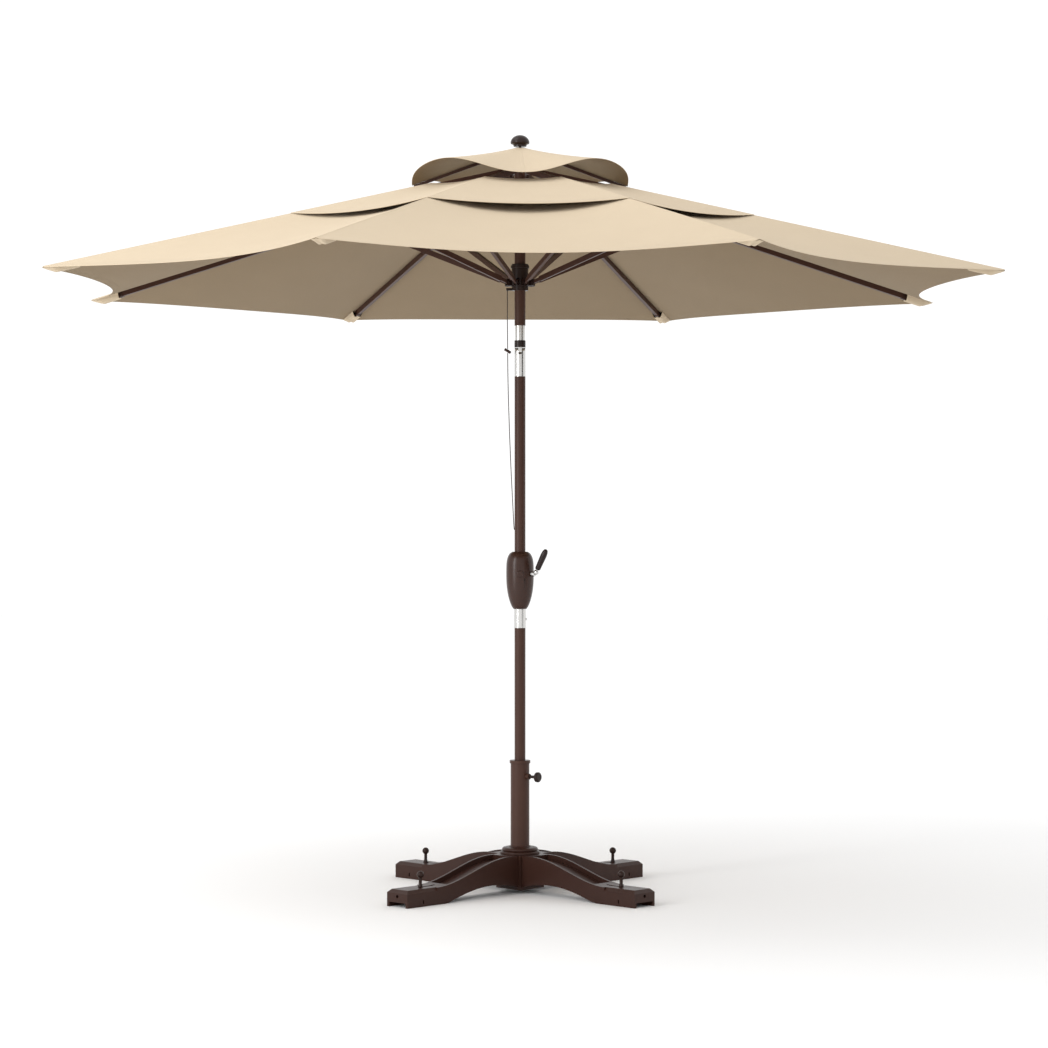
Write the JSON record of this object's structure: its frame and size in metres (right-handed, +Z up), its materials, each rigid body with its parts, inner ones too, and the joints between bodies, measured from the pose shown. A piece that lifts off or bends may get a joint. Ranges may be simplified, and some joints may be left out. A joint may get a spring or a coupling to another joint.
{
  "type": "patio umbrella with base",
  "caption": "Crank-lift market umbrella: two-tier beige canopy with vent cap on folding ribs, tilting bronze pole, and a four-legged cast base.",
  "frame": {"origin": "on the ground under the middle of the pole, at the bottom centre of the whole object", "axes": "+Z up along the pole, -Y towards the front, +X to the right"},
  "size_m": [3.1556, 3.1556, 2.632],
  "materials": {
    "cloth": "woven beige canopy cloth, matt",
    "cord": "thin braided pull cord",
    "cast_bronze": "dark bronze powder coat on cast iron",
    "bronze_alloy": "dark bronze powder coat on alloy bars",
    "bronze_steel": "dark bronze powder coat on steel tube",
    "bronze_plastic": "dark bronze moulded plastic, satin",
    "spool_plastic": "black moulded plastic",
    "bright_steel": "polished bright steel"
  },
  "bodies": {
    "base": {"leg_1": "cast_bronze", "leg_2": "cast_bronze", "leg_3": "cast_bronze", "leg_4": "cast_bronze", "hub_post": "cast_bronze", "hub_bolts": "bronze_steel", "base_tube": "bronze_steel", "tube_collar": "cast_bronze"},
    "clamp_knob": {"clamp_knob": "bronze_steel"},
    "ball_bolt_1": {"ball_bolt_1": "bronze_steel"},
    "ball_bolt_2": {"ball_bolt_2": "bronze_steel"},
    "ball_bolt_3": {"ball_bolt_3": "bronze_steel"},
    "ball_bolt_4": {"ball_bolt_4": "bronze_steel"},
    "lower_mast": {"lower_pole": "bronze_steel", "pole_ferrule": "bright_steel", "housing_front": "bronze_plastic", "housing_back": "bronze_plastic", "mid_pole": "bronze_steel", "tilt_sleeve": "bright_steel", "pull_cord": "cord", "cord_toggle": "bronze_plastic"},
    "ferrule_button": {"ferrule_button": "bright_steel"},
    "crank": {"crank_arm": "bright_steel", "cord_spool": "spool_plastic"},
    "crank_grip": {"crank_grip": "bronze_plastic"},
    "upper_mast": {"tilt_spigot": "bright_steel", "upper_pole": "bronze_steel", "crown_hub": "bronze_plastic", "vent_cap": "cloth"},
    "tilt_collar": {"tilt_collar": "bronze_plastic"},
    "finial": {"finial": "bronze_plastic"},
    "runner": {"runner": "bronze_plastic"},
    "cap_arm_1": {"cap_arm_1": "bronze_alloy"},
    "cap_arm_2": {"cap_arm_2": "bronze_alloy"},
    "cap_arm_3": {"cap_arm_3": "bronze_alloy"},
    "cap_arm_4": {"cap_arm_4": "bronze_alloy"},
    "rib_1": {"rib_1": "bronze_alloy", "gore_1": "cloth"},
    "rib_2": {"rib_2": "bronze_alloy", "gore_2": "cloth"},
    "rib_3": {"rib_3": "bronze_alloy", "gore_3": "cloth"},
    "rib_4": {"rib_4": "bronze_alloy", "gore_4": "cloth"},
    "rib_5": {"rib_5": "bronze_alloy", "gore_5": "cloth"},
    "rib_6": {"rib_6": "bronze_alloy", "gore_6": "cloth"},
    "rib_7": {"rib_7": "bronze_alloy", "gore_7": "cloth"},
    "rib_8": {"rib_8": "bronze_alloy", "gore_8": "cloth"},
    "strut_1": {"strut_1": "bronze_alloy"},
    "strut_2": {"strut_2": "bronze_alloy"},
    "strut_3": {"strut_3": "bronze_alloy"},
    "strut_4": {"strut_4": "bronze_alloy"},
    "strut_5": {"strut_5": "bronze_alloy"},
    "strut_6": {"strut_6": "bronze_alloy"},
    "strut_7": {"strut_7": "bronze_alloy"},
    "strut_8": {"strut_8": "bronze_alloy"}
  },
  "joints": [
    {"name": "mast_turn", "type": "hinge", "parent": "base", "child": "lower_mast", "pos_m": [0, 0, 0.4], "axis": [0, 0, 1], "range_deg": [-180, 180]},
    {"name": "clamp_knob_turn", "type": "hinge", "parent": "base", "child": "clamp_knob", "pos_m": [0.04596, -0.03857, 0.4], "axis": [0.766, -0.6428, 0], "range_deg": [0, 720]},
    {"name": "ball_bolt_1_turn", "type": "hinge", "parent": "base", "child": "ball_bolt_1", "pos_m": [0.33729, -0.33729, 0.08], "axis": [0, 0, 1], "range_deg": [0, 720]},
    {"name": "ball_bolt_2_turn", "type": "hinge", "parent": "base", "child": "ball_bolt_2", "pos_m": [0.33729, 0.33729, 0.08], "axis": [0, 0, 1], "range_deg": [0, 720]},
    {"name": "ball_bolt_3_turn", "type": "hinge", "parent": "base", "child": "ball_bolt_3", "pos_m": [-0.33729, 0.33729, 0.08], "axis": [0, 0, 1], "range_deg": [0, 720]},
    {"name": "ball_bolt_4_turn", "type": "hinge", "parent": "base", "child": "ball_bolt_4", "pos_m": [-0.33729, -0.33729, 0.08], "axis": [0, 0, 1], "range_deg": [0, 720]},
    {"name": "ferrule_button_press", "type": "slide", "parent": "lower_mast", "child": "ferrule_button", "axis": [-1, 0, 0], "range_m": [0, 0.003], "stiffness_N_per_m": 600, "springref_m": -0.002},
    {"name": "canopy_tilt", "type": "hinge", "parent": "lower_mast", "child": "upper_mast", "pos_m": [0, 0, 1.88], "axis": [1, 0, 0], "range_deg": [0, 30]},
    {"name": "tilt_collar_turn", "type": "hinge", "parent": "upper_mast", "child": "tilt_collar", "pos_m": [0, 0, 1.905], "axis": [0, 0, 1], "range_deg": [0, 120]},
    {"name": "finial_turn", "type": "hinge", "parent": "upper_mast", "child": "finial", "pos_m": [0, 0, 2.6], "axis": [0, 0, 1], "range_deg": [0, 720]},
    {"name": "canopy_fold", "type": "hinge", "parent": "upper_mast", "child": "rib_1", "pos_m": [0.01546, -0.03472, 2.507], "axis": [0.9135, 0.4067, 0], "range_deg": [0, 68], "deforming": ["gore_1", "gore_2", "gore_3", "gore_4", "gore_5", "gore_6", "gore_7", "gore_8", "vent_cap", "pull_cord", "cord_toggle"]},
    {"name": "rib_2_fold", "type": "hinge", "parent": "upper_mast", "child": "rib_2", "pos_m": [0.03548, -0.01362, 2.507], "axis": [0.3584, 0.9336, 0], "range_deg": [0, 68]},
    {"name": "rib_3_fold", "type": "hinge", "parent": "upper_mast", "child": "rib_3", "pos_m": [0.03472, 0.01546, 2.507], "axis": [-0.4067, 0.9135, 0], "range_deg": [0, 68]},
    {"name": "rib_4_fold", "type": "hinge", "parent": "upper_mast", "child": "rib_4", "pos_m": [0.01362, 0.03548, 2.507], "axis": [-0.9336, 0.3584, 0], "range_deg": [0, 68]},
    {"name": "rib_5_fold", "type": "hinge", "parent": "upper_mast", "child": "rib_5", "pos_m": [-0.01546, 0.03472, 2.507], "axis": [-0.9135, -0.4067, 0], "range_deg": [0, 68]},
    {"name": "rib_6_fold", "type": "hinge", "parent": "upper_mast", "child": "rib_6", "pos_m": [-0.03548, 0.01362, 2.507], "axis": [-0.3584, -0.9336, 0], "range_deg": [0, 68]},
    {"name": "rib_7_fold", "type": "hinge", "parent": "upper_mast", "child": "rib_7", "pos_m": [-0.03472, -0.01546, 2.507], "axis": [0.4067, -0.9135, 0], "range_deg": [0, 68]},
    {"name": "rib_8_fold", "type": "hinge", "parent": "upper_mast", "child": "rib_8", "pos_m": [-0.01362, -0.03548, 2.507], "axis": [0.9336, -0.3584, 0], "range_deg": [0, 68]},
    {"name": "strut_1_fold", "type": "hinge", "parent": "rib_1", "child": "strut_1", "pos_m": [0.26211, -0.58872, 2.3558], "axis": [0.9135, 0.4067, 0], "range_deg": [-129.3, 0]},
    {"name": "strut_2_fold", "type": "hinge", "parent": "rib_2", "child": "strut_2", "pos_m": [0.60163, -0.23095, 2.3558], "axis": [0.3584, 0.9336, 0], "range_deg": [-129.3, 0]},
    {"name": "strut_3_fold", "type": "hinge", "parent": "rib_3", "child": "strut_3", "pos_m": [0.58872, 0.26211, 2.3558], "axis": [-0.4067, 0.9135, 0], "range_deg": [-129.3, 0]},
    {"name": "strut_4_fold", "type": "hinge", "parent": "rib_4", "child": "strut_4", "pos_m": [0.23095, 0.60163, 2.3558], "axis": [-0.9336, 0.3584, 0], "range_deg": [-129.3, 0]},
    {"name": "strut_5_fold", "type": "hinge", "parent": "rib_5", "child": "strut_5", "pos_m": [-0.26211, 0.58872, 2.3558], "axis": [-0.9135, -0.4067, 0], "range_deg": [-129.3, 0]},
    {"name": "strut_6_fold", "type": "hinge", "parent": "rib_6", "child": "strut_6", "pos_m": [-0.60163, 0.23095, 2.3558], "axis": [-0.3584, -0.9336, 0], "range_deg": [-129.3, 0]},
    {"name": "strut_7_fold", "type": "hinge", "parent": "rib_7", "child": "strut_7", "pos_m": [-0.58872, -0.26211, 2.3558], "axis": [0.4067, -0.9135, 0], "range_deg": [-129.3, 0]},
    {"name": "strut_8_fold", "type": "hinge", "parent": "rib_8", "child": "strut_8", "pos_m": [-0.23095, -0.60163, 2.3558], "axis": [0.9336, -0.3584, 0], "range_deg": [-129.3, 0]},
    {"name": "runner_slide", "type": "slide", "parent": "upper_mast", "child": "runner", "axis": [0, 0, -1], "range_m": [0, 0.87]},
    {"name": "cap_arm_1_fold", "type": "hinge", "parent": "upper_mast", "child": "cap_arm_1", "pos_m": [0.00065, -0.02499, 2.576], "axis": [0.9997, 0.0262, 0], "range_deg": [0, 60]},
    {"name": "cap_arm_2_fold", "type": "hinge", "parent": "upper_mast", "child": "cap_arm_2", "pos_m": [0.02499, 0.00065, 2.576], "axis": [-0.0262, 0.9997, 0], "range_deg": [0, 60]},
    {"name": "cap_arm_3_fold", "type": "hinge", "parent": "upper_mast", "child": "cap_arm_3", "pos_m": [-0.00065, 0.02499, 2.576], "axis": [-0.9997, -0.0262, 0], "range_deg": [0, 60]},
    {"name": "cap_arm_4_fold", "type": "hinge", "parent": "upper_mast", "child": "cap_arm_4", "pos_m": [-0.02499, -0.00065, 2.576], "axis": [0.0262, -0.9997, 0], "range_deg": [0, 60]},
    {"name": "crank_turn", "type": "hinge", "parent": "lower_mast", "child": "crank", "pos_m": [0.02396, -0.01805, 1.104], "axis": [0.7986, -0.6018, 0], "range_deg": [0, 2880]},
    {"name": "grip_spin", "type": "hinge", "parent": "crank", "child": "crank_grip", "pos_m": [0.0559, -0.04213, 1.11], "axis": [0.3811, -0.2872, 0.8788], "continuous": true}
  ],
  "couplings": [
    {"joint": "tilt_collar_turn", "follows": "canopy_tilt", "ratio": 4},
    {"joint": "rib_2_fold", "follows": "canopy_fold", "ratio": 1},
    {"joint": "rib_3_fold", "follows": "canopy_fold", "ratio": 1},
    {"joint": "rib_4_fold", "follows": "canopy_fold", "ratio": 1},
    {"joint": "rib_5_fold", "follows": "canopy_fold", "ratio": 1},
    {"joint": "rib_6_fold", "follows": "canopy_fold", "ratio": 1},
    {"joint": "rib_7_fold", "follows": "canopy_fold", "ratio": 1},
    {"joint": "rib_8_fold", "follows": "canopy_fold", "ratio": 1},
    {"joint": "strut_1_fold", "follows": "canopy_fold", "ratio": -1.9012},
    {"joint": "strut_2_fold", "follows": "canopy_fold", "ratio": -1.9012},
    {"joint": "strut_3_fold", "follows": "canopy_fold", "ratio": -1.9012},
    {"joint": "strut_4_fold", "follows": "canopy_fold", "ratio": -1.9012},
    {"joint": "strut_5_fold", "follows": "canopy_fold", "ratio": -1.9012},
    {"joint": "strut_6_fold", "follows": "canopy_fold", "ratio": -1.9012},
    {"joint": "strut_7_fold", "follows": "canopy_fold", "ratio": -1.9012},
    {"joint": "strut_8_fold", "follows": "canopy_fold", "ratio": -1.9012},
    {"joint": "runner_slide", "follows": "canopy_fold", "m_per_rad": 0.73221},
    {"joint": "cap_arm_1_fold", "follows": "canopy_fold", "ratio": 0.88},
    {"joint": "cap_arm_2_fold", "follows": "canopy_fold", "ratio": 0.88},
    {"joint": "cap_arm_3_fold", "follows": "canopy_fold", "ratio": 0.88},
    {"joint": "cap_arm_4_fold", "follows": "canopy_fold", "ratio": 0.88},
    {"joint": "crank_turn", "follows": "canopy_fold", "ratio": 42.35}
  ]
}
